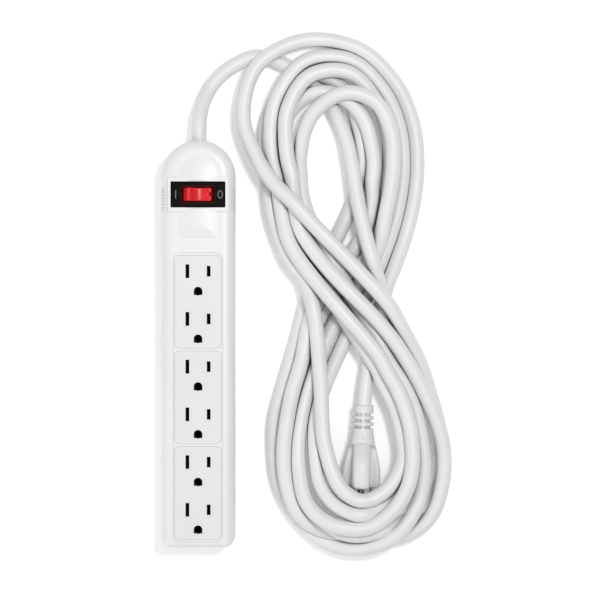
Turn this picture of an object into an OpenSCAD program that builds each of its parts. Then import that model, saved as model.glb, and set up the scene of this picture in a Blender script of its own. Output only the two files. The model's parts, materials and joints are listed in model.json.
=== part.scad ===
// Six-outlet power strip with a lighted rocker switch, a coiled three-core lead and a moulded plug.
// Frame: X across the strip, Y along it towards the cord end, Z up from the surface it rests on.
// The origin is under the middle of the casing.

/* [Casing] */
// Length of the casing
body_l = 244; // [242:1:246]
// Width of the casing
body_w = 44; // [43.6:0.2:44.4]
// Height of the outlet face
face_z = 30; // [29.8:0.1:30.4]
// Height of the joint between base and cover
split_z = 15; // [14.8:0.1:15.2]
// Wall thickness of both shells
wall = 2.2; // [2:0.1:2.4]
// Radius of the long rounded shoulders
shoulder_r = 7; // [6.8:0.1:7.2]
// Corner radius at the far end, seen from above
corner_r = 6.5; // [6:0.5:7]
// Height of the crown on the head
crown_h = 1.75; // [1.6:0.05:1.9]

/* [Outlets] */
// Distance from one outlet to the next
outlet_pitch = 28.5; // [28.4:0.1:28.6]
// Y of the blade slots of the outlet nearest the switch
first_outlet_y = 43.2; // [43:0.1:43.4]
// Distance between the two blade slots
blade_spacing = 12.7; // [12.7:0.1:12.7]
// Distance from the blade slots to the ground hole
ground_offset = 11.9; // [11.9:0.1:11.9]
// Width of both blade slots
slot_w = 2.25; // [2.1:0.05:2.3]
// Length of the neutral slot
neutral_slot_l = 8.2; // [8.1:0.1:8.4]
// Length of the live slot
live_slot_l = 6.3; // [6.3:0.1:6.7]
// Radius of the round side of the ground hole
ground_hole_r = 2.6; // [2.5:0.05:2.65]

/* [Switch] */
// Y of the switch centre
switch_y = 89; // [88.8:0.1:89.2]
// Length of the black bezel, across the strip
bezel_l = 32.6; // [32.4:0.1:32.8]
// Width of the black bezel
bezel_w = 15.4; // [15.2:0.1:15.6]
// Length of the rocker
rocker_l = 18; // [17.8:0.1:18]
// Width of the rocker
rocker_w = 7.7; // [7.6:0.1:7.8]
// Tilt of the rocker each way from level
rocker_tilt = 12; // [11.5:0.5:12]

/* [Cord and plug] */
// Diameter of the cord
cord_d = 9.1; // [9:0.1:9.2]
// Height of the cord's axis where it leaves the casing
cord_z = 15; // [14.8:0.1:15.2]
// Length of the moulded plug body
plug_l = 33; // [32:0.5:34]
// Length of the plug's strain relief
relief_l = 17; // [16:0.5:18]
// Length of the plug blades
blade_l = 17.5; // [17:0.1:18]
// Radius of the plug's ground pin
ground_pin_r = 2.38; // [2.36:0.01:2.4]

/* [Hidden] */
$fn = 48;

half_w = body_w / 2;
far_y = -body_l / 2;
dome_y = body_l / 2 - half_w;
flat_half = half_w - shoulder_r;
shoulder_z = face_z - shoulder_r;
foot_r = 2.5;
end_r = 3;
floor_t = 2.5;
seam = 0.25;

// Head of the cover
ledge_h = 0.35;
ledge_half = 13.2;
crown_half = 11.6;
crown_y = 63.3;
scoop_l = 7;
pad_l = 36;
pad_w = 20.4;
pad_h = 1.2;

// Grip ribs
grip_count = 8;
grip_pitch = 1.85;
grip_w = 0.85;
grip_slope = 25;
grip_y = 88;

// Outlet panels
panel_pitch = 2 * outlet_pitch;
panel_w = 27.8;
panel_l = 55.4;
panel_r = 3;
panel_gap = 0.12;
panel_top = face_z + 0.1;
panel_bottom = face_z - 5;
flange_w = 30.6;
flange_l = 56.6;
flange_t = 1.4;
frame_half = 14.7;
frame_line = 0.5;
frame_depth = 0.35;
rim = 1;
rim_h = 0.2;
ground_flat = 2.3;
panel_shift = 4.1;

// Casing fixings
screw_ys = [-112, -6, 72];
screw_x = 16.9;
boss_r = 3;
cover_boss_top = 24;
screw_hole_r = 1.6;
screw_r = 1.2;
pilot_r = 1.25;
screw_head_r = 2.9;
screw_head_h = 1.6;
counterbore_r = 3.1;
counterbore_h = 2;
key_ys = [-100, 40];
key_r = 4;
key_slot_w = 4.2;
key_slot_l = 9;
key_wall = 1.2;
key_roof_z = 6.5;

// Contacts
carrier_z = 8;
carrier_t = 1.4;
carrier_half = 11;
carrier_y0 = -116;
carrier_y1 = 56;
bar_t = 0.8;
bar_z = carrier_z + carrier_t;
bar_w = 5;
bar_y0 = -114;
bar_y1 = 61;
leaf_t = 0.6;
leaf_top = 22;
leaf_l = 6;
blade_gap = 1.3;
ground_gap = 3.8;

// Switch
pad_top = face_z + pad_h;
bezel_top = pad_top + 0.1;
bezel_t = 2;
pivot_z = 29;
pivot_r = 1.2;
pivot_hole_r = 1.25;
case_l = 28.4;
case_w = 12.8;
case_wall = 1.6;
case_z = 13;
opening_l = 18.9;
opening_w = 8.6;
collar_l = 20.8;
collar_w = 11.2;
collar_depth = 0.7;
rocker_half = rocker_l / 2;
lever_z = 17.6;
lever_tilt = 8;
lever_half = 7;
tab_w = 6.3;
tab_t = 0.8;
tab_z = 5.5;
tab_x = 8.5;

// Cord exit and clamp
relief_y0 = 99.5;
relief_y1 = 122;
relief_flange_y = 113;
clamp_y = 106;
clamp_l = 6;
clamp_half = 12.5;
clamp_top = 23;
clamp_screw_x = 9.4;
clamp_r = 5.9;

// Wires
wire_r = 1.4;
thin_r = 0.8;
wire_end_y = relief_y0 + 0.5;
line_route = [[2.3, wire_end_y, 15.6], [2.5, 98.2, 14.4], [2.2, 95.8, 11.2], [1.2, 93.8, 8.8], [0, 92.2, 8]];
neutral_route = [
  [-2.3, wire_end_y, 15.6], [-3.6, 98.2, 14], [-7, 97, 9], [-12, 92, 6.5], [-12.4, 82, 6.5], [-11, 72, 9],
  [-7.6, 64, 11.7], [-7.2, 57, 11.7]
];
ground_route = [
  [0, wire_end_y, 12.6], [-0.2, 98.2, 12], [-0.5, 97.2, 9], [1.5, 97.4, 5.6], [5.5, 97, 4.6], [12, 91, 4.5],
  [12.4, 80, 4.5], [8, 70, 4.5], [2, 64, 5.4], [0, 60.4, 7.8], [0, 56.6, 7.95]
];
load_route = [[tab_x, 85.8, 8.2], [tab_x, 80, 8.8], [7.6, 70, 10.4], [6.8, 64, 11.7], [6.6, 57, 11.7]];
lamp_route_a = [[-tab_x, 85.8, 8.2], [-7.4, 82, 8], [-5.6, 78, 8]];
lamp_route_b = [[-5.6, 70, 8], [-5, 66, 9], [-4.7, 62, 11.05], [-4.7, 57, 11.05]];

// Plug: its front face stands at plug_at, turned by plug_turn, with the ground pin on top
plug_at = [97.4, -87.5, 0];
plug_turn = -2.3;
plug_w = 24;
plug_blade_z = 8;
plug_ground_z = plug_blade_z + ground_offset;
plug_axis_z = 11.5;
hump_r = 5.7;
hump_z = 20.3;
root_l = 6;
ground_pin_l = 18.6;

// Routes: the cord from the casing to the coil, and from the coil to the plug
lead_route = [
  [0, 100, 15], [0, 114, 15], [0, 128, 15], [0.5, 137, 13.4], [2.5, 146, 9.6], [7, 155.5, 6.2], [14, 163.5, 4.8],
  [23, 169.5, 4.6], [34, 173, 4.6]
];
tail_route = [
  [104, 8, 4.6], [103, -4, 4.8], [102, -15, 7], [100.4, -26, 10.6], [99.4, -37.5, 11.5], [98.8, -53, 11.5]
];

// Outline of the coil, a figure of eight, and its two eyes
coil_outline = [
  [72, 188], [103, 179], [124, 153], [134, 117], [131, 83], [121, 44], [118, 28], [133, 0], [145, -34],
  [153, -78], [144, -107], [126, -119], [92, -128], [62, -117], [46, -88], [43, -49], [54, -11],
  [60, 12], [50, 47], [38, 85], [25, 118], [23, 148], [40, 178]
];
upper_eye = [[76, 136], [66, 122], [63, 103], [66, 86], [83, 66], [91, 88], [86, 113]];
lower_eye = [
  [93, 1], [104, -14], [118, -48], [121, -72], [112, -93], [97, -112], [84, -106], [80, -84], [79, -58], [82, -32]
];
coil_h = 21;
crossing_outline = [
  [58, 60], [88, 62], [122, 62], [121, 30], [128, 8], [118, -20], [88, 2], [62, -18], [60, 10], [57, 34]
];
crossing_h = 32;

// A closed smooth curve through hand-placed points, n steps to each
function smooth_at(p, i, t) =
  let (
    m = len(p),
    a = p[(i + m - 1) % m],
    b = p[i],
    c = p[(i + 1) % m],
    d = p[(i + 2) % m]
  )
  0.5 * (2 * b + t * (c - a) + t * t * (2 * a - 5 * b + 4 * c - d) + t * t * t * (3 * b - a - 3 * c + d));
function smooth_loop(p, n) = [for (i = [0 : len(p) - 1], k = [0 : n - 1]) smooth_at(p, i, k / n)];

// The same curve left open, ending at the first and last points
function clamp_at(p, i) = p[max(0, min(len(p) - 1, i))];
function smooth_open(p, n) = concat(
  [for (i = [0 : len(p) - 2], k = [0 : n - 1])
    let (
      a = clamp_at(p, i - 1),
      b = p[i],
      c = p[i + 1],
      d = clamp_at(p, i + 2),
      t = k / n
    )
    0.5 * (2 * b + t * (c - a) + t * t * (2 * a - 5 * b + 4 * c - d) + t * t * t * (3 * b - a - 3 * c + d))],
  [p[len(p) - 1]]
);
function unit(v) = v / norm(v);
function heading(p, i) = unit(clamp_at(p, i + 1) - clamp_at(p, i - 1));
function side(h) = unit(cross(h, abs(h[2]) > 0.9 ? [0, 1, 0] : [0, 0, 1]));

// A round tube swept along a list of points
module tube(points, r, sides) {
  rings = [for (i = [0 : len(points) - 1])
    let (h = heading(points, i), u = side(h), v = cross(h, u))
    [for (k = [0 : sides - 1]) points[i] + r * (cos(360 * k / sides) * u + sin(360 * k / sides) * v)]];
  skin = [for (i = [0 : len(points) - 2], k = [0 : sides - 1])
    let (n = (k + 1) % sides, a = i * sides, b = a + sides)
    [a + k, a + n, b + n, b + k]];
  first = [for (k = [sides - 1 : -1 : 0]) k];
  last = [for (k = [0 : sides - 1]) (len(points) - 1) * sides + k];
  polyhedron(points = [for (ring = rings, q = ring) q], faces = concat([first], skin, [last]), convexity = 6);
}

// Lays a flat XZ section down along Y, from y0 to y1
module along_y(y0, y1) {
  translate([0, y1, 0]) rotate([90, 0, 0]) linear_extrude(y1 - y0) children();
}

// ---- Casing form ----

module section(inset) {
  translate([-half_w + inset, foot_r]) square([2 * (half_w - inset), shoulder_z - foot_r]);
  translate([-flat_half, inset]) square([2 * flat_half, face_z - 2 * inset]);
  for (s = [-1, 1]) {
    translate([s * flat_half, shoulder_z]) circle(r = shoulder_r - inset);
    translate([s * (half_w - foot_r), foot_r]) circle(r = max(foot_r - inset, 0.3));
  }
  translate([-half_w + foot_r, inset]) square([2 * (half_w - foot_r), foot_r]);
}

module half_section(inset) {
  intersection() {
    section(inset);
    translate([0, -1]) square([half_w + 1, face_z + 2]);
  }
}

module plan(inset) {
  for (s = [-1, 1]) {
    translate([s * (half_w - corner_r), far_y + corner_r]) circle(r = corner_r - inset);
  }
  translate([-half_w + corner_r, far_y + inset]) square([body_w - 2 * corner_r, body_l]);
  translate([-half_w + inset, far_y + corner_r]) square([body_w - 2 * inset, body_l]);
}

module end_side(inset) {
  translate([far_y + end_r, face_z - end_r]) circle(r = end_r - min(inset, end_r - 0.5));
  translate([far_y + inset, 0]) square([body_l + 20, face_z - end_r]);
  translate([far_y + end_r, 0]) square([body_l + 20, face_z - inset]);
}

module body_form(inset) {
  intersection() {
    union() {
      along_y(far_y, dome_y) section(inset);
      translate([0, dome_y, 0]) rotate_extrude() half_section(inset);
    }
    linear_extrude(face_z + 2) plan(inset);
    rotate([90, 0, 90]) translate([0, 0, -half_w - 1]) linear_extrude(body_w + 2) end_side(inset);
  }
}

module slab(z0, z1) {
  translate([-half_w - 1, far_y - 1, z0]) cube([body_w + 2, body_l + 2, z1 - z0]);
}

module cavity(z0, z1) {
  intersection() {
    body_form(wall);
    slab(z0, z1);
  }
}

module at_screws() {
  for (s = [-1, 1], y = screw_ys) translate([s * screw_x, y, 0]) children();
}

module cord_hole() {
  translate([0, relief_flange_y, cord_z]) rotate([-90, 0, 0]) cylinder(h = 12, r = 5.7);
}

// ---- Base ----

module keyhole_cut() {
  translate([0, 0, -1]) cylinder(h = floor_t + 1.1, r = key_r);
  translate([-key_slot_w / 2, 0, -1]) cube([key_slot_w, key_slot_l, floor_t + 1.1]);
}

module keyhole_box() {
  out_w = 2 * (key_r + 0.6 + key_wall);
  out_l = key_r + 0.6 + key_slot_l + 3 + 2 * key_wall;
  translate([-out_w / 2, -key_r - 0.6 - key_wall, floor_t - 0.1]) difference() {
    cube([out_w, out_l, key_roof_z + 1 - floor_t]);
    translate([key_wall, key_wall, -1]) cube([out_w - 2 * key_wall, out_l - 2 * key_wall, key_roof_z - floor_t + 1.1]);
  }
}

module clamp_seat() {
  difference() {
    union() {
      translate([-7, clamp_y - clamp_l / 2, floor_t - 0.1]) cube([14, clamp_l, cord_z - floor_t]);
      for (s = [-1, 1]) {
        translate([s * clamp_screw_x, clamp_y, floor_t - 0.1]) cylinder(h = cord_z - floor_t, r = 2.8);
      }
    }
    translate([0, clamp_y - clamp_l, cord_z]) rotate([-90, 0, 0]) cylinder(h = 2 * clamp_l, r = clamp_r);
    for (s = [-1, 1]) translate([s * clamp_screw_x, clamp_y, 5]) cylinder(h = cord_z, r = pilot_r);
  }
}

module relief_rib() {
  difference() {
    translate([-10, relief_flange_y - 1.7, floor_t - 0.1]) cube([20, 1.5, cord_z - floor_t]);
    translate([0, relief_flange_y - 3, cord_z]) rotate([-90, 0, 0]) cylinder(h = 4, r = 6.3);
  }
}

module base_housing() {
  color("whitesmoke") difference() {
    union() {
      difference() {
        intersection() {
          translate([0, 0, -seam]) body_form(seam);
          slab(0, split_z);
        }
        cavity(floor_t, split_z + 1);
      }
      intersection() {
        at_screws() translate([0, 0, 1]) cylinder(h = split_z - 1, r = boss_r);
        body_form(seam + 0.5);
      }
      for (y = key_ys) translate([0, y, 0]) keyhole_box();
      clamp_seat();
      relief_rib();
      for (y = [carrier_y0 + 6, -32, carrier_y1 - 4]) {
        translate([-9, y - 1, floor_t - 0.1]) cube([18, 2, carrier_z - floor_t + 0.1]);
      }
    }
    at_screws() {
      translate([0, 0, -1]) cylinder(h = split_z + 2, r = screw_hole_r);
      translate([0, 0, -1]) cylinder(h = counterbore_h + 1, r = counterbore_r);
    }
    for (y = key_ys) translate([0, y, 0]) keyhole_cut();
    cord_hole();
  }
}

// ---- Cover ----

module rounded_box(w, l, r, h) {
  linear_extrude(h) {
    for (sx = [-1, 1], sy = [-1, 1]) translate([sx * (w / 2 - r), sy * (l / 2 - r)]) circle(r = r);
    square([w - 2 * r, l], center = true);
    square([w, l - 2 * r], center = true);
  }
}

function panel_y(i) = first_outlet_y - outlet_pitch / 2 - panel_shift - i * panel_pitch;

module crown_section() {
  sagitta = crown_h - ledge_h;
  r = (crown_half * crown_half + sagitta * sagitta) / (2 * sagitta);
  translate([-ledge_half, face_z - 1]) square([2 * ledge_half, 1 + ledge_h]);
  intersection() {
    translate([0, face_z + crown_h - r]) circle(r = r, $fn = 96);
    translate([-crown_half, face_z - 1]) square([2 * crown_half, 4]);
  }
}

// The long crowned plateau of the head, rounded at the cord end, with the scoop that slopes to the outlets
module crown() {
  difference() {
    union() {
      along_y(crown_y, dome_y) crown_section();
      translate([0, dome_y, 0]) rotate_extrude() intersection() {
        crown_section();
        translate([0, face_z - 2]) square([half_w, 6]);
      }
    }
    scoop_rise = crown_h - ledge_h;
    rotate([90, 0, 90]) translate([0, 0, -half_w]) linear_extrude(body_w) polygon([
      [crown_y - 0.01, face_z + ledge_h], [crown_y + 2 * scoop_l, face_z + ledge_h + 2 * scoop_rise],
      [crown_y - 0.01, face_z + ledge_h + 2 * scoop_rise]
    ]);
  }
}

// The recess over the bezel, its long sides sloping up to the crown
module pad_recess() {
  slope = 2.6;
  rotate([90, 0, 90]) translate([0, 0, -pad_l / 2]) linear_extrude(pad_l) polygon([
    [switch_y - bezel_w / 2 - 0.1, pad_top], [switch_y + bezel_w / 2 + 0.1, pad_top],
    [switch_y + bezel_w / 2 + slope, face_z + 3], [switch_y - bezel_w / 2 - slope, face_z + 3]
  ]);
}

module grip_rib(s, y) {
  translate([s * (half_w - 3.2), y, shoulder_z - 3]) rotate([0, 0, -s * grip_slope])
    translate([-5, -grip_w / 2, 0]) cube([10, grip_w, 9]);
}

// Two rows of sloping ribs on the shoulders beside the switch
module grips() {
  intersection() {
    for (s = [-1, 1], k = [0 : grip_count - 1]) grip_rib(s, grip_y + grip_pitch * (k - (grip_count - 1) / 2));
    body_form(-0.35);
    for (s = [-1, 1]) translate([s * (half_w - 1) - 3.2, grip_y - 9, shoulder_z - 3]) cube([6.4, 18, 9]);
  }
}

module frame_groove() {
  ring_l = 3 * panel_pitch + 1.6;
  translate([0, panel_y(1), face_z - frame_depth]) difference() {
    rounded_box(2 * frame_half + frame_line, ring_l + frame_line, 4, 1);
    translate([0, 0, -1]) rounded_box(2 * frame_half - frame_line, ring_l - frame_line, 3.6, 3);
  }
}

module top_cover() {
  color("white") difference() {
    union() {
      difference() {
        union() {
          intersection() {
            body_form(0);
            slab(split_z, face_z + 1);
          }
          crown();
          translate([0, switch_y, face_z - 1]) rounded_box(pad_l, pad_w, 1, 1 + pad_h);
        }
        cavity(split_z - 1, face_z - wall);
      }
      grips_above_split();
      intersection() {
        at_screws() translate([0, 0, split_z]) cylinder(h = cover_boss_top - split_z, r = boss_r);
        body_form(0.5);
      }
    }
    pad_recess();
    translate([0, switch_y, face_z - 6]) rounded_box(bezel_l + 0.2, bezel_w + 0.2, 0.6, 12);
    for (i = [0 : 2]) {
      translate([0, panel_y(i), face_z - wall - 1])
        rounded_box(panel_w + 2 * panel_gap, panel_l + 2 * panel_gap, panel_r + panel_gap, 6);
    }
    frame_groove();
    at_screws() translate([0, 0, split_z - 1]) cylinder(h = cover_boss_top - split_z, r = pilot_r);
    cord_hole();
  }
}

module grips_above_split() {
  difference() {
    grips();
    cavity(split_z - 1, face_z - wall);
  }
}

// ---- Outlet panels ----

module slot_form(w, l, grow, h) {
  translate([-w / 2 - grow, -l / 2 - grow, 0]) cube([w + 2 * grow, l + 2 * grow, h]);
}

module ground_form(grow, h) {
  cylinder(h = h, r = ground_hole_r + grow);
  translate([-ground_hole_r - grow, -ground_flat - grow, 0])
    cube([2 * (ground_hole_r + grow), ground_flat + grow, h]);
}

module outlet_cuts(grow, z0, h) {
  translate([-blade_spacing / 2, 0, z0]) slot_form(slot_w, neutral_slot_l, grow, h);
  translate([blade_spacing / 2, 0, z0]) slot_form(slot_w, live_slot_l, grow, h);
  translate([0, -ground_offset, z0]) ground_form(grow, h);
}

module outlet_panel(i) {
  color("white") difference() {
    union() {
      translate([0, panel_y(i), panel_bottom]) rounded_box(panel_w, panel_l, panel_r, panel_top - panel_bottom);
      translate([0, panel_y(i), face_z - wall - flange_t]) rounded_box(flange_w, flange_l, 1, flange_t);
      for (k = [0, 1]) {
        translate([0, first_outlet_y - (2 * i + k) * outlet_pitch, 0]) outlet_cuts(rim, panel_top - 0.5, 0.5 + rim_h);
      }
    }
    for (k = [0, 1]) {
      translate([0, first_outlet_y - (2 * i + k) * outlet_pitch, 0]) outlet_cuts(0, panel_bottom - 1, 10);
    }
  }
}

// ---- Contacts ----

module contact_carrier() {
  wall_h = 12;
  carrier_l = carrier_y1 - carrier_y0;
  color("dimgray") {
    translate([-carrier_half, carrier_y0, carrier_z]) cube([2 * carrier_half, carrier_l, carrier_t]);
    for (s = [-1, 1]) {
      translate([s * (carrier_half - 0.6) - 0.6, carrier_y0, carrier_z]) cube([1.2, carrier_l, wall_h]);
      translate([s * 3.1 - 0.4, carrier_y0, carrier_z]) cube([0.8, carrier_l, wall_h]);
    }
    translate([-carrier_half, carrier_y0, carrier_z]) cube([2 * carrier_half, 1.2, wall_h]);
  }
}

module bus_bar(x, clip_y, gap) {
  color("goldenrod") {
    translate([x - bar_w / 2, bar_y0, bar_z]) cube([bar_w, bar_y1 - bar_y0, bar_t]);
    for (i = [0 : 5], s = [-1, 1]) {
      translate([x + s * (gap + leaf_t) / 2 - leaf_t / 2, clip_y - i * outlet_pitch - leaf_l / 2, bar_z])
        cube([leaf_t, leaf_l, leaf_top - bar_z]);
    }
  }
}

module live_bus_bar() bus_bar(blade_spacing / 2, first_outlet_y, blade_gap);
module neutral_bus_bar() bus_bar(-blade_spacing / 2, first_outlet_y, blade_gap);
module ground_bus_bar() bus_bar(0, first_outlet_y - ground_offset, ground_gap);

// ---- Switch ----

module switch_housing() {
  case_top = bezel_top - bezel_t;
  color("black") translate([0, switch_y, 0]) difference() {
    union() {
      translate([0, 0, case_top]) rounded_box(bezel_l, bezel_w, 0.5, bezel_t);
      translate([-case_l / 2, -case_w / 2, case_z]) cube([case_l, case_w, case_top - case_z + 0.1]);
    }
    translate([-case_l / 2 + case_wall, -opening_w / 2, case_z + case_wall])
      cube([case_l - 2 * case_wall, opening_w, case_top - case_z - case_wall]);
    translate([-opening_l / 2, -opening_w / 2, case_top - 1]) cube([opening_l, opening_w, bezel_t + 2]);
    // the shallow dished collar around the rocker
    translate([-collar_l / 2, -collar_w / 2, bezel_top - collar_depth]) cube([collar_l, collar_w, 2]);
    translate([0, -case_w, pivot_z]) rotate([-90, 0, 0]) cylinder(h = 2 * case_w, r = pivot_hole_r);
    for (x = [-tab_x, 0, tab_x]) {
      translate([x - tab_t / 2, -tab_w / 2, case_z - 1]) cube([tab_t, tab_w, case_wall + 2]);
    }
  }
}

// Places children in the rocker's own frame, at its rest tilt with the right-hand end pressed
module rocker_frame() {
  translate([0, switch_y, pivot_z]) rotate([0, rocker_tilt, 0]) children();
}

module rocker() {
  color("red") rocker_frame() {
    difference() {
      translate([0, rocker_w / 2, 0]) rotate([90, 0, 0]) linear_extrude(rocker_w) polygon([
        [-rocker_half, 0], [-7, 5], [-6.4, 5.2], [-3.2, 3.5], [0, 2.8], [3.2, 3.5], [6.4, 5.2], [7, 5],
        [rocker_half, 0], [7.6, -2.4], [-7.6, -2.4]
      ]);
      translate([-6.4, -2.7, -3]) cube([12.8, 5.4, 4.6]);
      // the notch in the pressed end
      translate([6.1, -0.9, 4.2]) cube([2, 1.8, 2]);
    }
    // the plunger's sleeve, carried by the two side walls
    difference() {
      translate([-2, -rocker_w / 2, -7]) cube([4, rocker_w, 4.8]);
      translate([0, 0, -8]) cylinder(h = 5.1, r = 1.1);
    }
    for (s = [-1, 1]) {
      translate([0, s * (rocker_w / 2 - 0.2), 0]) rotate([-90 * s, 0, 0]) cylinder(h = 1.8, r = pivot_r);
    }
  }
}

module plunger() {
  color("gainsboro") rocker_frame() {
    translate([0, 0, -9.8]) cylinder(h = 4.6, r = 1);
    translate([0, 0, -9.8]) sphere(r = 0.84);
  }
}

module plunger_spring() {
  turns = 4;
  rise = 2;
  wire_r = 0.16;
  coil_r = 0.8;
  steps = 12;
  color("silver") rocker_frame() tube(
    [for (k = [0 : turns * steps])
      [coil_r * cos(360 * k / steps), coil_r * sin(360 * k / steps), -5.05 + k * (rise - 0.15) / (turns * steps)]],
    wire_r, 6
  );
}

module indicator_lamp() {
  color("orange") rocker_frame() {
    translate([-4, 0, -0.4]) rotate([0, 90, 0]) cylinder(h = 7, r = 1.5);
    translate([3, 0, -0.4]) sphere(r = 1.5);
    for (s = [-1, 1]) translate([-5.8, s * 0.7, -0.4]) rotate([0, 90, 0]) cylinder(h = 1.8, r = 0.25, $fn = 16);
  }
}

module contact_lever() {
  color("goldenrod") translate([0, switch_y, lever_z]) rotate([0, -lever_tilt, 0]) {
    translate([-lever_half, -2, -0.4]) cube([2 * lever_half, 4, 0.8]);
    translate([5.9, 0, -1]) cylinder(h = 0.7, r = 1.1);
  }
}

module tab(x) {
  translate([x - tab_t / 2, switch_y - tab_w / 2, tab_z]) cube([tab_t, tab_w, case_z + case_wall - tab_z]);
}

module line_terminal() {
  color("goldenrod") {
    tab(0);
    translate([-0.6, switch_y - 2, case_z + case_wall]) cube([1.2, 4, lever_z - 0.8 - case_z - case_wall]);
  }
}

module load_terminal() {
  color("goldenrod") {
    tab(tab_x);
    translate([tab_x - tab_t / 2, switch_y - tab_w / 2, case_z + case_wall]) cube([tab_t, tab_w, 0.8]);
    translate([4.6, switch_y - 2, case_z + case_wall]) cube([tab_x - 4.6, 4, 0.4]);
    translate([5.9, switch_y, case_z + case_wall]) cylinder(h = 0.7, r = 1.1);
  }
}

module lamp_terminal() {
  color("goldenrod") {
    tab(-tab_x);
    translate([-tab_x - tab_t / 2, switch_y - 2, case_z + case_wall]) cube([tab_t, 4, 1]);
  }
}

// ---- Wiring ----

module line_wire() color("black") tube(smooth_open(line_route, 3), wire_r, 8);
module load_wire() color("black") tube(smooth_open(load_route, 3), wire_r, 8);
module neutral_wire() color("white") tube(smooth_open(neutral_route, 3), wire_r, 8);
module ground_wire() color("green") tube(smooth_open(ground_route, 3), wire_r, 8);

module lamp_wire() {
  color("white") {
    tube(smooth_open(lamp_route_a, 3), thin_r, 8);
    tube(smooth_open(lamp_route_b, 3), thin_r, 8);
  }
}

module lamp_resistor() {
  color("burlywood") translate([-5.6, 78, 8]) rotate([90, 0, 0]) cylinder(h = 8, r = 1.3);
}

// ---- Cord exit ----

module cord_strain_relief() {
  color("white") translate([0, 0, cord_z]) rotate([-90, 0, 0]) rotate_extrude() polygon([
    [cord_d / 2, relief_y0], [5.1, relief_y0], [5.8, clamp_y - 4], [5.8, relief_flange_y - 1.8], [7.2, relief_flange_y],
    [7.2, relief_flange_y + 2.4], [5.6, relief_flange_y + 2.6], [5.6, relief_y1 - 1.6], [5, relief_y1],
    [cord_d / 2, relief_y1]
  ]);
}

module cord_clamp() {
  color("white") difference() {
    translate([-clamp_half, clamp_y - clamp_l / 2, cord_z + 0.5])
      cube([2 * clamp_half, clamp_l, clamp_top - cord_z - 0.5]);
    translate([0, clamp_y - clamp_l, cord_z]) rotate([-90, 0, 0]) cylinder(h = 2 * clamp_l, r = clamp_r);
    for (s = [-1, 1]) translate([s * clamp_screw_x, clamp_y, cord_z]) cylinder(h = clamp_top, r = screw_hole_r);
  }
}

module screw(shank) {
  difference() {
    cylinder(h = screw_head_h, r = screw_head_r);
    for (a = [0, 90]) rotate([0, 0, a]) translate([-1.8, -0.35, -1]) cube([3.6, 0.7, 1.9]);
  }
  translate([0, 0, screw_head_h - 0.1]) cylinder(h = shank, r = screw_r);
}

module clamp_screws() {
  color("silver") for (s = [-1, 1]) {
    translate([s * clamp_screw_x, clamp_y, clamp_top + screw_head_h]) rotate([180, 0, 0]) screw(17);
  }
}

module housing_screws() {
  color("silver") at_screws() translate([0, 0, counterbore_h - screw_head_h]) screw(20);
}

// ---- Cord ----

module cord_lead() color("whitesmoke") tube(smooth_open(lead_route, 2), cord_d / 2, 12);
module cord_tail() color("whitesmoke") tube(smooth_open(tail_route, 2), cord_d / 2, 12);

module cord_bundle() {
  color("whitesmoke") {
    difference() {
      linear_extrude(coil_h) polygon(smooth_loop(coil_outline, 4));
      translate([0, 0, -1]) linear_extrude(coil_h + 2) polygon(smooth_loop(upper_eye, 4));
      translate([0, 0, -1]) linear_extrude(coil_h + 2) polygon(smooth_loop(lower_eye, 4));
    }
    difference() {
      linear_extrude(crossing_h) intersection() {
        polygon(smooth_loop(crossing_outline, 3));
        polygon(smooth_loop(coil_outline, 4));
      }
      translate([0, 0, -1]) linear_extrude(crossing_h + 2) polygon(smooth_loop(upper_eye, 4));
      translate([0, 0, -1]) linear_extrude(crossing_h + 2) polygon(smooth_loop(lower_eye, 4));
    }
  }
}

// ---- Plug ----

module plug_frame() {
  translate(plug_at) rotate([0, 0, plug_turn]) children();
}

// A round-edged bar across the plug: width w, height from z0 to z1, at distance y behind the front face
module plug_bar(w, z0, z1, y) {
  r = 2.5;
  for (x = [-w / 2 + r, w / 2 - r], z = [z0 + r, z1 - r]) {
    translate([x, y, z]) rotate([-90, 0, 0]) cylinder(h = 0.5, r = r, $fn = 24);
  }
}

module plug_body() {
  color("whitesmoke") plug_frame() {
    hull() {
      plug_bar(22.4, 1.5, 15.5, 0);
      plug_bar(plug_w, 1, 16, 4);
      plug_bar(plug_w - 1, 1, 16.5, 17);
    }
    hull() {
      plug_bar(plug_w - 1, 1, 16.5, 16.9);
      plug_bar(13.5, 4, 18.5, plug_l - 0.5);
    }
    hull() {
      translate([0, -1.5, hump_z]) rotate([-90, 0, 0]) cylinder(h = 0.5, r = hump_r - 0.6, $fn = 32);
      translate([0, 8, hump_z]) rotate([-90, 0, 0]) cylinder(h = 8, r = hump_r, $fn = 32);
      translate([0, 30, hump_z - 7.4]) rotate([-90, 0, 0]) cylinder(h = 0.5, r = hump_r - 1, $fn = 32);
      translate([-hump_r + 0.6, -1.5, 6]) cube([2 * hump_r - 1.2, 24, 4]);
    }
  }
}

module plug_strain_relief() {
  ribs = 3;
  pitch = 3.6;
  color("whitesmoke") plug_frame() translate([0, plug_l, plug_axis_z]) rotate([-90, 0, 0]) difference() {
    cylinder(h = relief_l, r1 = 6.6, r2 = 6);
    translate([0, 0, -1]) cylinder(h = relief_l + 2, r = cord_d / 2);
    for (k = [0 : ribs - 1]) translate([0, 0, 4 + k * pitch]) difference() {
      cylinder(h = 1.3, r = 9);
      translate([0, 0, -1]) cylinder(h = 4, r = 5.2);
      for (a = [0, 90]) rotate([0, 0, a]) translate([-9, -0.8, -1]) cube([18, 1.6, 4]);
    }
  }
}

module plug_blade(x, w) {
  color("silver") plug_frame() {
    translate([x - 0.75, -blade_l, plug_blade_z - w / 2]) difference() {
      cube([1.5, blade_l + root_l, w]);
      translate([-1, 4.2, w / 2]) rotate([0, 90, 0]) cylinder(h = 4, r = 1.6);
    }
  }
}

module plug_live_blade() plug_blade(blade_spacing / 2, 6.35);
module plug_neutral_blade() plug_blade(-blade_spacing / 2, 7.9);

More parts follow.
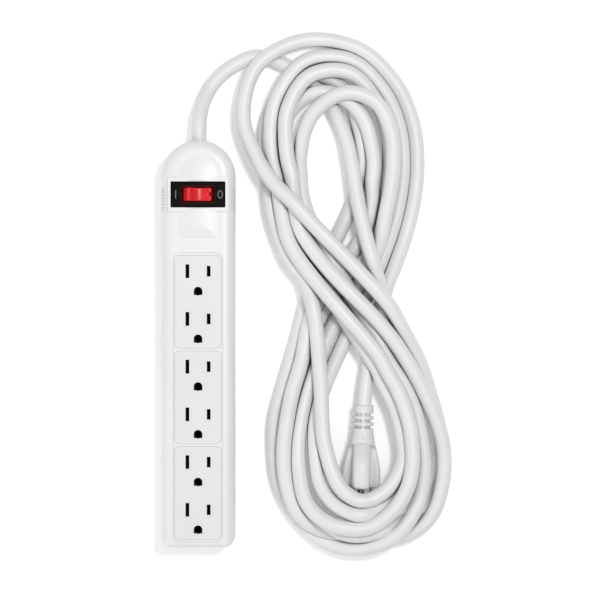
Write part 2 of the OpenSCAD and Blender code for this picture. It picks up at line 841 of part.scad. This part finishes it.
module plug_ground_pin() {
  color("silver") plug_frame() translate([0, -1.5, plug_ground_z]) rotate([90, 0, 0]) {
    translate([0, 0, -root_l]) cylinder(h = root_l, r = 1.8);
    cylinder(h = ground_pin_l, r = ground_pin_r);
    translate([0, 0, ground_pin_l]) sphere(r = ground_pin_r);
  }
}

base_housing();
top_cover();
outlet_panel(0);  // outlet_panel_1
outlet_panel(1);  // outlet_panel_2
outlet_panel(2);  // outlet_panel_3
contact_carrier();
live_bus_bar();
neutral_bus_bar();
ground_bus_bar();
switch_housing();
rocker();
plunger();
plunger_spring();
indicator_lamp();
contact_lever();
line_terminal();
load_terminal();
lamp_terminal();
lamp_resistor();
line_wire();
load_wire();
neutral_wire();
ground_wire();
lamp_wire();
cord_strain_relief();
cord_clamp();
clamp_screws();
housing_screws();
cord_lead();
cord_bundle();
cord_tail();
plug_body();
plug_strain_relief();
plug_live_blade();
plug_neutral_blade();
plug_ground_pin();
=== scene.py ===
import math

import bmesh
import bpy
import numpy as np
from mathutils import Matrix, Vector
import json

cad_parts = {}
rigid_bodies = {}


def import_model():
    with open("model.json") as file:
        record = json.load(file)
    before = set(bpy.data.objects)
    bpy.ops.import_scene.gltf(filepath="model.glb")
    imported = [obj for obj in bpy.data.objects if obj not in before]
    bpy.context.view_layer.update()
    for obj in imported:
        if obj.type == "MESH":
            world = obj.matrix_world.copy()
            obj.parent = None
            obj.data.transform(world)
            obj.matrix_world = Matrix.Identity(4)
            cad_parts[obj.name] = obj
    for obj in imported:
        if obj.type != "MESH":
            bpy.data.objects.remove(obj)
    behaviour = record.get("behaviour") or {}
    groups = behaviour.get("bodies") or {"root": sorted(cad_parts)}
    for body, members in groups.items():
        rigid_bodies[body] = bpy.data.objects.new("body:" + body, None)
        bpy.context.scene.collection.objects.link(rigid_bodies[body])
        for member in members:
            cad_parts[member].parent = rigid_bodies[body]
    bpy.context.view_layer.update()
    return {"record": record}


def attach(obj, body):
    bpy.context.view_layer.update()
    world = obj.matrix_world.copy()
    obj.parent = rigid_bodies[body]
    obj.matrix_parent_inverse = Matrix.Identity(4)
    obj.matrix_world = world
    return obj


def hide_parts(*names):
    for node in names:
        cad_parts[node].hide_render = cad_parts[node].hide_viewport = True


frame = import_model()
MM = 0.001

# ---- Camera: straight above the middle of the strip and its coil ----

VIEW_CENTRE = (0.0609, 0.026)
CAMERA_HEIGHT = 1.5

camera_data = bpy.data.cameras.new("camera")
camera_data.lens = 147.7
camera_data.sensor_width = 36
camera = bpy.data.objects.new("camera", camera_data)
camera.location = (*VIEW_CENTRE, CAMERA_HEIGHT)
bpy.context.collection.objects.link(camera)
bpy.context.scene.camera = camera

# ---- Cord: one lead of 4.35 m, wound in a figure of eight ----

# Sizes in millimetres. One layer of strands lies LEVEL above the next, a little less than a diameter
CORD_D = 9.1
CORD_R = CORD_D / 2
LEVEL = 8.4
POINT_SPACING = 5.5

# How the cord is laid down: the rounds, the share of them in which it sinks, and its fall in each
ROUNDS = 420
SINKING_SHARE = 0.75
FALL = 0.14
MOST_PUSH = 1.5
NEIGHBOURS = 6
NEAR = CORD_D + 5
LOOK_AGAIN = 8
HELD_AT_CASING = 9
HELD_AT_PLUG = 5

# Middle of each eye, and the bearings at which a pass round it is placed, in degrees
UPPER_EYE = (76, 108)
UPPER_BEARINGS = [-60, -40, -20, 0, 25, 50, 75, 100, 125, 150, 175, 200, 225, 250]
LOWER_EYE = (99, -55)
LOWER_BEARINGS = [80, 70, 50, 30, 10, -10, -30, -50, -70, -90, -110, -130, -150, -170, -190, -210, -230, -250]

# One row per turn: its distance from the eye and its height in layers at each bearing.
# A turn with False runs backwards
LOWER_PASSES = [
    (True, [75, 55, 39, 32, 30, 31, 35, 38, 44, 49, 46, 40, 33, 30, 30, 32, 37, 48],
     [2, 1.2, 0.3, 0, 0, 0, 0, 0.3, 1.5, 2.8, 2, 0.8, 0, 0, 0, 0, 0, 0]),
    (True, [49, 41, 33, 29, 28, 29, 33, 40, 47, 54, 57, 54, 46, 41, 39, 41, 48, 63],
     [2.8, 2.4, 2, 1.9, 1.9, 1.8, 1.6, 1.6, 2.4, 3, 2.6, 1.5, 0.6, 0.2, 0.2, 0.3, 0.5, 1]),
    (True, [57, 47, 39, 35, 34, 36, 42, 51, 59, 65, 66, 63, 58, 53, 52, 53, 62, 88],
     [2.2, 1.6, 1, 1, 1, 1, 1, 1.2, 1.8, 2.2, 2.2, 2.2, 2, 1.8, 1.8, 1.6, 1, 0.5]),
    (False, [42, 34, 27, 24, 23, 25, 29, 33, 38, 41, 36, 29, 25, 24, 25, 29, 40, 100],
     [1.5, 0.8, 0, 0, 0, 0, 0.5, 1.3, 2.2, 2.8, 2.8, 2.2, 1.3, 1, 1, 1.4, 2, 2.6]),
    (False, [66, 58, 48, 44, 45, 49, 55, 62, 64, 62, 61, 57, 51, 47, 46, 49, 57, 82],
     [3, 2.4, 1.6, 1, 1, 1, 1, 1, 1, 1, 1, 1, 1, 1, 1, 0.8, 0.6, 0.8]),
    (False, [81, 68, 54, 47, 46, 49, 56, 63, 64, 64, 63, 59, 53, 49, 48, 50, 58, 78],
     [2.6, 1.6, 0.8, 0, 0, 0, 0, 0, 0, 0, 0, 0, 0, 0, 0, 0, 0, 0]),
]
UPPER_PASSES = [
    (True, [67, 56, 51, 50, 53, 59, 66, 64, 50, 38, 32, 30, 36, 55],
     [1, 1, 1, 1, 1, 1, 1.5, 2, 1.5, 1, 1, 1.2, 2, 2.8]),
    (True, [60, 47, 42, 41, 44, 48, 44, 33, 23, 18, 17, 18, 23, 33],
     [1, 1, 1, 1, 1, 1.4, 2.4, 2.8, 2, 1.2, 0.9, 0.9, 1.4, 1.8]),
    (True, [31, 25, 22, 22, 24, 31, 46, 55, 50, 42, 36, 37, 45, 61],
     [0, 0, 0, 0, 0, 0, 0, 0, 0, 0, 0, 0.5, 1.5, 2.2]),
    (False, [50, 38, 31, 30, 31, 36, 42, 44, 38, 28, 23, 22, 30, 50],
     [0, 0, 0, 0, 0, 0.4, 1.7, 2, 1, 0, 0, 0, 1, 1.8]),
    (False, [58, 46, 41, 40, 43, 50, 58, 54, 39, 27, 22, 21, 27, 44],
     [0, 0, 0, 0, 0, 0.3, 1, 2, 1.8, 1.2, 1.3, 1.8, 2.2, 2.4]),
    (False, [78, 62, 55, 53, 56, 63, 72, 76, 72, 57, 41, 33, 30, 34],
     [0, 0, 0, 0, 0, 0, 0.3, 0.8, 1, 1, 1.2, 2, 3, 3.4]),
]

# From the casing to the coil and round its first eye, and from the coil to the plug
CORD_LEAD = [
    (0, 114, 15), (0, 128, 15), (0.5, 137, 13.4), (2.5, 146, 9.6), (7, 155.5, 6.2), (14, 163.5, 4.8),
    (23, 169.5, 4.6),
    (34, 173.5, 5), (44, 171.5, 8), (56, 166, 12), (67, 158, 13), (76, 150, 11), (83, 138, 12), (88, 126, 13),
    (91.5, 112, 13), (94, 97, 13), (96, 85, 14), (100, 67, 20), (106, 44, 22),
]
CORD_TAIL = [
    (114, 38, 5), (110, 22, 4.6), (106, 8, 4.6), (103, -4, 4.8), (102, -15, 7), (100.4, -26, 10.6),
    (99.4, -37.5, 11.5),
    (98.8, -53, 11.5),
]


def around(eye, bearings, distances, layers, forwards):
    """The points of one pass round an eye of the coil."""
    points = []
    for bearing, distance, layer in zip(bearings, distances, layers):
        a = math.radians(bearing)
        x, y = eye[0] + distance * math.cos(a), eye[1] + distance * math.sin(a)
        points.append((x, y, CORD_R + LEVEL * layer))
    return points if forwards else points[::-1]


def smooth(points, steps):
    """A centripetal curve through the points, with so many steps to each."""
    p = np.array(points, dtype=float)
    p = np.vstack([2 * p[0] - p[1], p, 2 * p[-1] - p[-2]])
    out = []
    for a, b, c, d in zip(p[:-3], p[1:-2], p[2:-1], p[3:]):
        t1 = np.linalg.norm(b - a) ** 0.5
        t2 = t1 + np.linalg.norm(c - b) ** 0.5
        t3 = t2 + np.linalg.norm(d - c) ** 0.5
        for k in range(steps):
            t = t1 + (t2 - t1) * k / steps
            ab = a + (b - a) * t / t1
            bc = b + (c - b) * (t - t1) / (t2 - t1)
            cd = c + (d - c) * (t - t2) / (t3 - t2)
            abc = ab + (bc - ab) * t / t2
            bcd = bc + (cd - bc) * (t - t1) / (t3 - t1)
            out.append(abc + (bcd - abc) * (t - t1) / (t2 - t1))
    out.append(p[-2])
    return np.array(out)


def resample(points, spacing):
    along = np.concatenate([[0], np.cumsum(np.linalg.norm(np.diff(points, axis=0), axis=1))])
    at = np.linspace(0, along[-1], int(round(along[-1] / spacing)) + 1)
    return np.column_stack([np.interp(at, along, points[:, k]) for k in range(3)])


def cord_route():
    route = list(CORD_LEAD)
    for (down, down_r, down_z), (up, up_r, up_z) in zip(LOWER_PASSES, UPPER_PASSES):
        route += around(LOWER_EYE, LOWER_BEARINGS, down_r, down_z, down)
        route += around(UPPER_EYE, UPPER_BEARINGS, up_r, up_z, up)
    return route + CORD_TAIL


def plug_obstacles():
    """Balls that fill the plug's middle and right-hand side: centres and radii."""
    balls = []
    for y in range(-85, -56, 4):
        balls += [(102, y, 8.8, 7.6), (97.4, y, 19, 5.7)]
        if y > -72:
            balls.append((93, y, 8.8, 7.6))
    return np.array(balls, dtype=float)


def rest_height(p):
    """Lowest place of the cord's middle: on the surface, over the ground pin, or over the plug's corner."""
    x, y = p[:, 0], p[:, 1]
    pin = 27 - 0.5 * np.clip(np.abs(x - 96.8) - 2.5, 0, None) ** 1.15
    pin = np.where((y < -88) & (y > -114), pin, 0)
    beside = np.maximum(np.maximum(85 - x, x - 93), np.maximum(-88 - y, y + 74))
    corner = 20.8 - 1.3 * np.clip(beside, 0, None)
    return np.maximum(CORD_R, np.maximum(pin, corner))


def lie_down(p, held):
    """Lets the cord sink under its weight, its strands and the plug kept apart, close to its route."""
    target = p.copy()
    balls = plug_obstacles()
    free = ~held
    for k in range(ROUNDS):
        if k % LOOK_AGAIN == 0:
            gap = p[:, None, :] - p[None, :, :]
            near = (gap ** 2).sum(axis=2) < NEAR ** 2
            i, j = np.nonzero(np.triu(near, NEIGHBOURS))
        sinking = k < ROUNDS * SINKING_SHARE
        between = p[i] - p[j]
        d = np.linalg.norm(between, axis=1)
        push = np.clip(CORD_D - d, 0, None) * 0.25
        shove = between / np.maximum(d, 1e-6)[:, None] * push[:, None]
        move = np.zeros_like(p)
        np.add.at(move, i, shove)
        np.add.at(move, j, -shove)
        off = p[:, None, :] - balls[None, :, :3]
        d = np.linalg.norm(off, axis=2)
        need = np.clip(balls[None, :, 3] + CORD_R - d, 0, None) * (0.4 if sinking else 0.3)
        move += (off / np.maximum(d, 1e-6)[:, :, None] * need[:, :, None]).sum(axis=1)
        p[free] += np.clip(move[free], -MOST_PUSH, MOST_PUSH)
        p[free, :2] += (target[free, :2] - p[free, :2]) * (0.08 if sinking else 0.05)
        if sinking:
            p[free, 2] -= FALL
        for _ in range(3):
            drift = p - target * (1, 1, 0)
            mid = (drift[:-2] + drift[2:]) / 2 - drift[1:-1]
            p[1:-1][free[1:-1]] += mid[free[1:-1]] * 0.4
        p[free, 2] = np.maximum(p[free, 2], rest_height(p)[free])
    return p


cord_points = resample(smooth(cord_route(), 8), POINT_SPACING)
held = np.zeros(len(cord_points), dtype=bool)
held[:HELD_AT_CASING] = True
held[-HELD_AT_PLUG:] = True
cord_points = lie_down(cord_points, held)
fine = smooth(cord_points, 2)
fine[:, 2] = np.maximum(fine[:, 2], CORD_R)


def tube(points, radius, sides):
    """Vertices and quads of a round tube along the points, its section carried along without twist."""
    ahead = np.vstack([points[1:], points[-1:]]) - np.vstack([points[:1], points[:-1]])
    ahead /= np.linalg.norm(ahead, axis=1)[:, None]
    across = np.cross(ahead[0], (0, 0, 1))
    turn = 2 * np.pi * np.arange(sides) / sides
    rings = []
    for middle, heading in zip(points, ahead):
        across = across - heading * np.dot(across, heading)
        across /= np.linalg.norm(across)
        up = np.cross(heading, across)
        rings.append(middle + radius * (np.cos(turn)[:, None] * across + np.sin(turn)[:, None] * up))
    n = len(rings)
    faces = [
        (i * sides + k, i * sides + (k + 1) % sides, (i + 1) * sides + (k + 1) % sides, (i + 1) * sides + k)
        for i in range(n - 1) for k in range(sides)
    ]
    faces += [tuple(range(sides - 1, -1, -1)), tuple(range((n - 1) * sides, n * sides))]
    return np.vstack(rings), faces


cord_vertices, cord_faces = tube(fine, CORD_R, 24)
cord_mesh = bpy.data.meshes.new("power_cord")
cord_mesh.from_pydata([tuple(v) for v in cord_vertices * MM], [], cord_faces)
for face in cord_mesh.polygons:
    face.use_smooth = True
power_cord = bpy.data.objects.new("power_cord", cord_mesh)
bpy.context.collection.objects.link(power_cord)
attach(power_cord, "root")
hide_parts("cord_lead", "cord_bundle", "cord_tail")


# ---- Materials ----


def material(name, colour, roughness, metallic=0.0, grain=(900, 0.02), tone=(45, 0.03), painted_crease_shade=1.0, **extra):
    """A moulded or plated surface: fine grain in its bump, a slow drift of tone, and painted shade that darkens its
    creases.
    """
    m = bpy.data.materials.new(name)
    m.use_nodes = True
    nodes, links = m.node_tree.nodes, m.node_tree.links
    shader = nodes["Principled BSDF"]
    shader.inputs["Metallic"].default_value = metallic
    for key, value in extra.items():
        shader.inputs[key.replace("_", " ")].default_value = value
    place = nodes.new("ShaderNodeTexCoord")

    def noise(scale, detail):
        n = nodes.new("ShaderNodeTexNoise")
        n.inputs["Scale"].default_value = scale
        n.inputs["Detail"].default_value = detail
        links.new(place.outputs["Object"], n.inputs["Vector"])
        return n

    def ramp(source, low, high):
        r = nodes.new("ShaderNodeMapRange")
        r.inputs["From Min"].default_value = 0.3
        r.inputs["From Max"].default_value = 0.7
        r.inputs["To Min"].default_value = low
        r.inputs["To Max"].default_value = high
        links.new(source, r.inputs["Value"])
        return r.outputs["Result"]

    drift = noise(tone[0], 3)
    tint = nodes.new("ShaderNodeHueSaturation")
    tint.inputs["Color"].default_value = (*colour, 1)
    links.new(ramp(drift.outputs["Fac"], 1 - tone[1], 1 + tone[1]), tint.inputs["Value"])
    result = tint.outputs["Color"]
    # Painted shade: the colour is scaled down where ambient occlusion finds other surfaces close by, in creases and in
    # gaps between parts.
    if painted_crease_shade < 1:
        painted_shade_ao = nodes.new("ShaderNodeAmbientOcclusion")
        painted_shade_ao.samples = 8
        painted_shade_ao.inputs["Distance"].default_value = 4 * MM
        depth = nodes.new("ShaderNodeMapRange")
        depth.inputs["From Min"].default_value = 0.1
        depth.inputs["From Max"].default_value = 0.5
        depth.inputs["To Min"].default_value = painted_crease_shade
        links.new(painted_shade_ao.outputs["AO"], depth.inputs["Value"])
        mix = nodes.new("ShaderNodeVectorMath")
        mix.operation = "SCALE"
        links.new(result, mix.inputs["Vector"])
        links.new(depth.outputs["Result"], mix.inputs["Scale"])
        result = mix.outputs["Vector"]
    links.new(result, shader.inputs["Base Color"])
    fine_grain = noise(grain[0], 4)
    links.new(ramp(fine_grain.outputs["Fac"], roughness - 0.05, roughness + 0.05), shader.inputs["Roughness"])
    bump = nodes.new("ShaderNodeBump")
    bump.inputs["Strength"].default_value = 0.25
    bump.inputs["Distance"].default_value = grain[1] * MM
    links.new(fine_grain.outputs["Fac"], bump.inputs["Height"])
    links.new(bump.outputs["Normal"], shader.inputs["Normal"])
    return m


# The last number given to the white plastics, the cord jacket and the plug moulding sets their painted shade: how dark
# their creases and the gaps between strands are painted.
white = material("white_abs", (0.745, 0.745, 0.75), 0.4, grain=(1400, 0.03), tone=(30, 0.012), painted_crease_shade=0.45)
white_face = material("white_outlet_face", (0.7, 0.7, 0.7), 0.4, grain=(1800, 0.03), tone=(40, 0.012), painted_crease_shade=0.3)
jacket = material("cord_jacket", (0.705, 0.705, 0.71), 0.42, grain=(1100, 0.05), tone=(60, 0.02), painted_crease_shade=0.04)
moulding = material("plug_moulding", (0.66, 0.66, 0.665), 0.45, grain=(1500, 0.05), tone=(80, 0.02), painted_crease_shade=0.15)
black = material(
    "black_bezel", (0.003, 0.003, 0.003), 0.35, grain=(2200, 0.04), tone=(120, 0.3), Specular_IOR_Level=0.05,
)
red = material(
    "red_lens", (0.72, 0.012, 0.016), 0.32, grain=(700, 0.006), tone=(160, 0.1), Transmission_Weight=0.15, IOR=1.49,
    Specular_IOR_Level=0.35,
)
# Dark red for the dish round the rocker: a painted reflection of the red lens on the black bezel.
painted_lens_reflection = material(
    "painted_lens_reflection", (0.045, 0.001, 0.002), 0.3, grain=(900, 0.01), tone=(160, 0.2), Specular_IOR_Level=0.06,
)
insulator = material("dark_insulator", (0.015, 0.015, 0.016), 0.6, grain=(1300, 0.05), tone=(50, 0.2))
brass = material("dull_brass", (0.03, 0.02, 0.01), 0.5, 1.0, grain=(800, 0.03), tone=(110, 0.3))
nickel = material("nickel_plate", (0.2, 0.195, 0.185), 0.24, 1.0, grain=(1900, 0.02), tone=(140, 0.1))
zinc = material("zinc_plate", (0.5, 0.5, 0.52), 0.36, 1.0, grain=(1500, 0.03), tone=(140, 0.16))
spring_steel = material("spring_steel", (0.42, 0.42, 0.44), 0.28, 1.0, grain=(1700, 0.02), tone=(150, 0.1))
lamp_glass = material("lamp_glass", (0.9, 0.5, 0.2), 0.08, tone=(90, 0.1), Transmission_Weight=0.7, IOR=1.45)
resistor = material("resistor_lacquer", (0.55, 0.38, 0.2), 0.4, tone=(200, 0.12))
wire_black = material("wire_black", (0.02, 0.02, 0.02), 0.45, tone=(90, 0.25))
wire_white = material("wire_white", (0.72, 0.71, 0.68), 0.45, tone=(90, 0.04))
wire_green = material("wire_green", (0.03, 0.26, 0.07), 0.45, tone=(90, 0.15))
mark_ink = material("mark_ink", (0.12, 0.12, 0.125), 0.5, grain=(2600, 0.02), tone=(700, 0.2))

FINISH = {
    "casing": white, "outlet_face": white_face, "switch_black": black, "rocker_red": red, "insulator": insulator,
    "contact_brass": brass, "spring_steel": spring_steel, "lamp_glass": lamp_glass, "resistor_body": resistor,
    "wire_black": wire_black, "wire_white": wire_white, "wire_green": wire_green, "cord_jacket": jacket,
    "plug_moulding": moulding, "plug_metal": nickel, "screw_steel": zinc,
}


def finish_with(obj, surface):
    obj.data.materials.clear()
    obj.data.materials.append(surface)


for part in frame["record"]["subparts"]:
    finish_with(bpy.data.objects[part["node"]], FINISH[part["material_slot"]])
finish_with(power_cord, jacket)


def piece(name, vertices, faces, surface, body, slot, smooth_faces=True):
    """A new mesh piece from points in millimetres, with its finish, riding on a body."""
    mesh = bpy.data.meshes.new(name)
    mesh.from_pydata([tuple(c * MM for c in v) for v in vertices], [], faces)
    form = bmesh.new()
    form.from_mesh(mesh)
    bmesh.ops.recalc_face_normals(form, faces=form.faces)
    form.to_mesh(mesh)
    form.free()
    for face in mesh.polygons:
        face.use_smooth = smooth_faces
    obj = bpy.data.objects.new(name, mesh)
    bpy.context.collection.objects.link(obj)
    finish_with(obj, surface)
    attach(obj, body)
    return obj


def loft(rings):
    """Vertices and faces of a closed skin through rings with the same number of points."""
    n = len(rings[0])
    vertices = [p for ring in rings for p in ring]
    faces = [
        (i * n + k, i * n + (k + 1) % n, (i + 1) * n + (k + 1) % n, (i + 1) * n + k)
        for i in range(len(rings) - 1) for k in range(n)
    ]
    faces.append(tuple(range(n - 1, -1, -1)))
    faces.append(tuple(range((len(rings) - 1) * n, len(rings) * n)))
    return vertices, faces


# ---- Plug: its moulding, from the front face to the end of the ribbed strain relief ----

PLUG_AT = (97.4, -87.5)
PLUG_TURN = math.radians(-2.3)
PLUG_AXIS_Z = 11.5

# Distance behind the front face, width, underside, top of the wings, top of the hump, half width of the hump
PLUG_SECTIONS = [
    (0, 20.8, 2.4, 15.2, 24.6, 4.7), (0.35, 22, 1.6, 16, 25.2, 4.9), (1.2, 22.8, 1.1, 16.6, 25.7, 5.1),
    (3, 23.6, 1, 17, 26, 5.2), (6, 23.9, 1, 17.2, 26, 5.3), (9, 23.6, 1, 17.4, 26, 5.3), (12, 22.8, 1, 17.6, 25.8, 5.3),
    (15, 21.8, 1, 17.8, 25.2, 5.3), (18, 20.4, 1.2, 18, 24.2, 5.3), (21, 18.8, 1.6, 18.1, 22.8, 5.3),
    (24, 17.2, 2.3, 18.2, 21.2, 5.3), (27, 15.7, 3.2, 18.2, 19.4, 5.2), (30, 14.4, 4.2, 18.2, 18.4, 5),
    (33, 13.4, 4.8, 18.2, 18.2, 5),
]
RIB_Y = (36.8, 40.6, 44.4)
RELIEF_END = 50.0


def blend_row(rows, at):
    for a, b in zip(rows, rows[1:]):
        if a[0] <= at <= b[0]:
            t = (at - a[0]) / (b[0] - a[0])
            return [u + (v - u) * t for u, v in zip(a, b)]
    return list(rows[-1])


def plug_place(u, v, w):
    c, s = math.cos(PLUG_TURN), math.sin(PLUG_TURN)
    return (PLUG_AT[0] + u * c - v * s, PLUG_AT[1] + u * s + v * c, w)


def plug_top(u, v, plateau, hump, half):
    """Height of the plug's top: a plateau towards the cord, then a round hump between two scoops."""
    arch = 17 + math.sqrt(max(11.2 ** 2 - u * u, 0))
    inside = max(0, min(1, (arch - v) / 1.6))
    inside *= inside * (3 - 2 * inside)
    side = abs(u)
    scoop = plateau - 2.4 - 2 * math.exp(-((side - half - 1.2) / 2.4) ** 2)
    ridge = hump - 3.2 * (1 - math.sqrt(max(1 - (side / half) ** 2, 0))) if side < half else 0
    z = plateau + (max(scoop, ridge) - plateau) * inside
    return z - 1.1 * math.exp(-((u / 0.5) ** 2 + ((v - 30.5) / 0.5) ** 2))


def plug_ring(v, sides):
    _, width, low, top, hump, half = blend_row(PLUG_SECTIONS, v)
    square = 0.42 + 0.58 * max(0, min(1, (v - 10) / 23))
    ring = []
    for k in range(sides):
        a = 2 * math.pi * k / sides
        c, s = math.cos(a), math.sin(a)
        u = width / 2 * math.copysign(abs(c) ** square, c)
        middle = (low + top) / 2
        w = middle + (top - low) / 2 * math.copysign(abs(s) ** square, s)
        if s > 0:
            w = middle + (w - middle) / (top - middle) * (plug_top(u, v, top, hump, half) - middle)
        ring.append(plug_place(u, v, w))
    return ring


def relief_ring(v, sides):
    ring = []
    taper = 6.65 - 0.7 * (v - 33) / (RELIEF_END - 33)
    if v > RELIEF_END - 0.8:
        taper -= 0.5 * ((v - RELIEF_END + 0.8) / 0.8) ** 2
    for k in range(sides):
        a = 2 * math.pi * k / sides
        groove = max(math.exp(-((v - y) / 0.78) ** 6) for y in RIB_Y)
        offsets = [math.remainder(a - b, 2 * math.pi) for b in (math.pi / 2, -math.pi / 2)]
        bridge = max(math.exp(-(offset / 0.2) ** 4) for offset in offsets)
        r = taper - 2 * groove * (1 - bridge)
        ring.append(plug_place(r * math.cos(a), v, PLUG_AXIS_Z + r * math.sin(a)))
    return ring


plug_rings = [plug_ring(0, 144)]
plug_rings += [plug_ring(v, 144) for v in (0.15, 0.35, 0.7, 1.2, 2)]
plug_rings += [plug_ring(v, 144) for v in np.arange(3, 33.1, 0.3)]
plug_rings += [relief_ring(v, 144) for v in np.arange(34, RELIEF_END + 0.01, 0.2)]
plug_moulding = piece("plug_moulding_form", *loft(plug_rings), moulding, "root", "plug_moulding")
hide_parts("plug_body", "plug_strain_relief")

# ---- Rocker: a clear red lens with raised ends, at rest with its right-hand end pressed ----

SWITCH_Y = 89
PIVOT_Z = 29
ROCKER_TILT = math.radians(12)
ROCKER_PROFILE = [
    (-9, 0), (-8.6, 1.2), (-7.5, 3.9), (-7.15, 4.75), (-6.8, 5.05), (-6.3, 5.1), (-5.4, 4.7), (-4.2, 4.05), (-3, 3.5),
    (-1.5, 3.02), (0, 2.85), (1.5, 3.02), (3, 3.5), (4.2, 4.05), (5.4, 4.7), (6.3, 5.1), (6.8, 5.05), (7.15, 4.75),
    (7.5, 3.9), (8.6, 1.2), (9, 0), (7.6, -2.4), (-7.6, -2.4),
]


def rocker_place(x, y, z):
    c, s = math.cos(ROCKER_TILT), math.sin(ROCKER_TILT)
    return (x * c + z * s, SWITCH_Y + y, PIVOT_Z - x * s + z * c)


def rocker_ring(y, shrink):
    """One section of the lens, drawn in by shrink, with the notch in its pressed end cut into the middle ones."""
    notch = 2.4 if abs(y) < 0.9 else 0
    ring = []
    for x, z in ROCKER_PROFILE:
        if x > 6 and z > 3:
            z -= notch
        r = math.hypot(x, z)
        ring.append(rocker_place(x * (1 - shrink / max(r, 1)), y, z * (1 - shrink / max(r, 1))))
    return ring


ROCKER_SIDE = ((3.85, 0.42), (3.8, 0.24), (3.68, 0.1), (3.5, 0.02), (3.2, 0), (1.6, 0), (0.95, 0), (0.85, 0))
rocker_rings = [rocker_ring(-y, s) for y, s in ROCKER_SIDE] + [rocker_ring(y, s) for y, s in ROCKER_SIDE[::-1]]
rocker_lens = piece("rocker_lens", *loft(rocker_rings), red, "rocker_body", "rocker_red")
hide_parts("rocker")


# ---- Bezel: a stroke and a ring printed in grey, and a painted red reflection of the lens in the dish round the rocker ----

BEZEL_TOP = 31.3
DISH_FLOOR = BEZEL_TOP - 0.7


def band(name, outline, hole=None, top=BEZEL_TOP, surface=mark_ink, finish="switch_black"):
    """A thin flat piece lying on the bezel or in its dish, from one outline and the hole in it."""
    rise = 0.06
    if hole is None:
        ring = [(x, y, top - 0.02) for x, y in outline]
        vertices, faces = loft([ring, [(x, y, top + rise) for x, y, _ in ring]])
    else:
        n = len(outline)
        vertices = [(x, y, z) for z in (top - 0.02, top + rise) for edge in (outline, hole) for x, y in edge]
        faces = []
        for k in range(n):
            m = (k + 1) % n
            faces += [(k, m, n + m, n + k), (2 * n + k, 2 * n + m, 3 * n + m, 3 * n + k)]
            faces += [(k, m, 2 * n + m, 2 * n + k), (n + k, n + m, 3 * n + m, 3 * n + k)]
    return piece(name, vertices, faces, surface, "root", finish, smooth_faces=False)


def oval(x, y, rx, ry):
    return [(x + rx * math.cos(math.pi * k / 20), y + ry * math.sin(math.pi * k / 20)) for k in range(40)]


band("mark_on", [(-13.6, 86.4), (-13, 86.4), (-13, 91.6), (-13.6, 91.6)])
band("mark_off", oval(13.3, SWITCH_Y, 1.55, 2.5), oval(13.3, SWITCH_Y, 1, 1.95))


def rectangle(half_x, half_y):
    return [(sx * half_x, SWITCH_Y + sy * half_y) for sx, sy in ((1, 1), (-1, 1), (-1, -1), (1, -1))]


# A thin band of painted red reflection of the lens, laid in the dish round the rocker.
band("rocker_dish_painted_reflection", rectangle(10.3, 5.5), rectangle(9.5, 4.35), DISH_FLOOR, painted_lens_reflection, "rocker_red")

# The thin raised lip that runs round the bezel, just inside its edge
lip_rings = []
for inset, z in ((0.45, 31.25), (0.5, 31.42), (0.62, 31.48), (0.74, 31.42), (0.8, 31.25)):
    x, y, r = 16.3 - inset, 7.7 - inset, 0.6
    ring = []
    for cx, cy, start in ((x - r, y - r, 0), (-x + r, y - r, 90), (-x + r, -y + r, 180), (x - r, -y + r, 270)):
        for k in range(5):
            a = math.radians(start + 22.5 * k)
            ring.append((cx + r * math.cos(a), SWITCH_Y + cy + r * math.sin(a), z))
    lip_rings.append(ring)
lip_vertices = [p for ring in lip_rings for p in ring]
side = len(lip_rings[0])
lip_faces = [
    (i * side + k, i * side + (k + 1) % side, (i + 1) % 5 * side + (k + 1) % side, (i + 1) % 5 * side + k)
    for i in range(5) for k in range(side)
]
piece("bezel_lip", lip_vertices, lip_faces, black, "root", "switch_black")

# ---- Floor and light ----

floor_mesh = bpy.data.meshes.new("floor")
floor_mesh.from_pydata([(-3, -3, 0), (3, -3, 0), (3, 3, 0), (-3, 3, 0)], [], [(0, 1, 2, 3)])
floor = bpy.data.objects.new("floor", floor_mesh)
bpy.context.collection.objects.link(floor)
paper = material("paper", (0.95, 0.95, 0.95), 0.7, grain=(300, 0.02), tone=(6, 0.004), Emission_Strength=0.16)
paper.node_tree.nodes["Principled BSDF"].inputs["Emission Color"].default_value = (1, 1, 1, 1)
finish_with(floor, paper)

world = bpy.data.worlds.new("studio")
world.use_nodes = True
bpy.context.scene.world = world
nodes, links = world.node_tree.nodes, world.node_tree.links
direction = nodes.new("ShaderNodeTexCoord")
parts = nodes.new("ShaderNodeSeparateXYZ")
links.new(direction.outputs["Generated"], parts.inputs["Vector"])
height = nodes.new("ShaderNodeMapRange")
for name, value in (("From Min", 0.05), ("From Max", 0.75), ("To Min", 0.2), ("To Max", 0.69)):
    height.inputs[name].default_value = value
links.new(parts.outputs["Z"], height.inputs["Value"])
links.new(height.outputs["Result"], nodes["Background"].inputs["Strength"])
nodes["Background"].inputs["Color"].default_value = (1, 1, 1, 1)


def softbox(name, place, size, energy):
    light = bpy.data.lights.new(name, "AREA")
    light.shape = "DISK"
    light.size = size
    light.energy = energy
    obj = bpy.data.objects.new(name, light)
    obj.location = place
    obj.rotation_euler = (Vector((0.06, 0.03, 0)) - Vector(place)).to_track_quat("-Z", "Y").to_euler()
    bpy.context.collection.objects.link(obj)


softbox("key", (0.32, 0.26, 1.2), 0.2, 6.9)
softbox("side", (-1.0, -0.6, 0.75), 0.8, 4.8)
bpy.context.scene.view_settings.view_transform = "Standard"

bpy.context.view_layer.update()
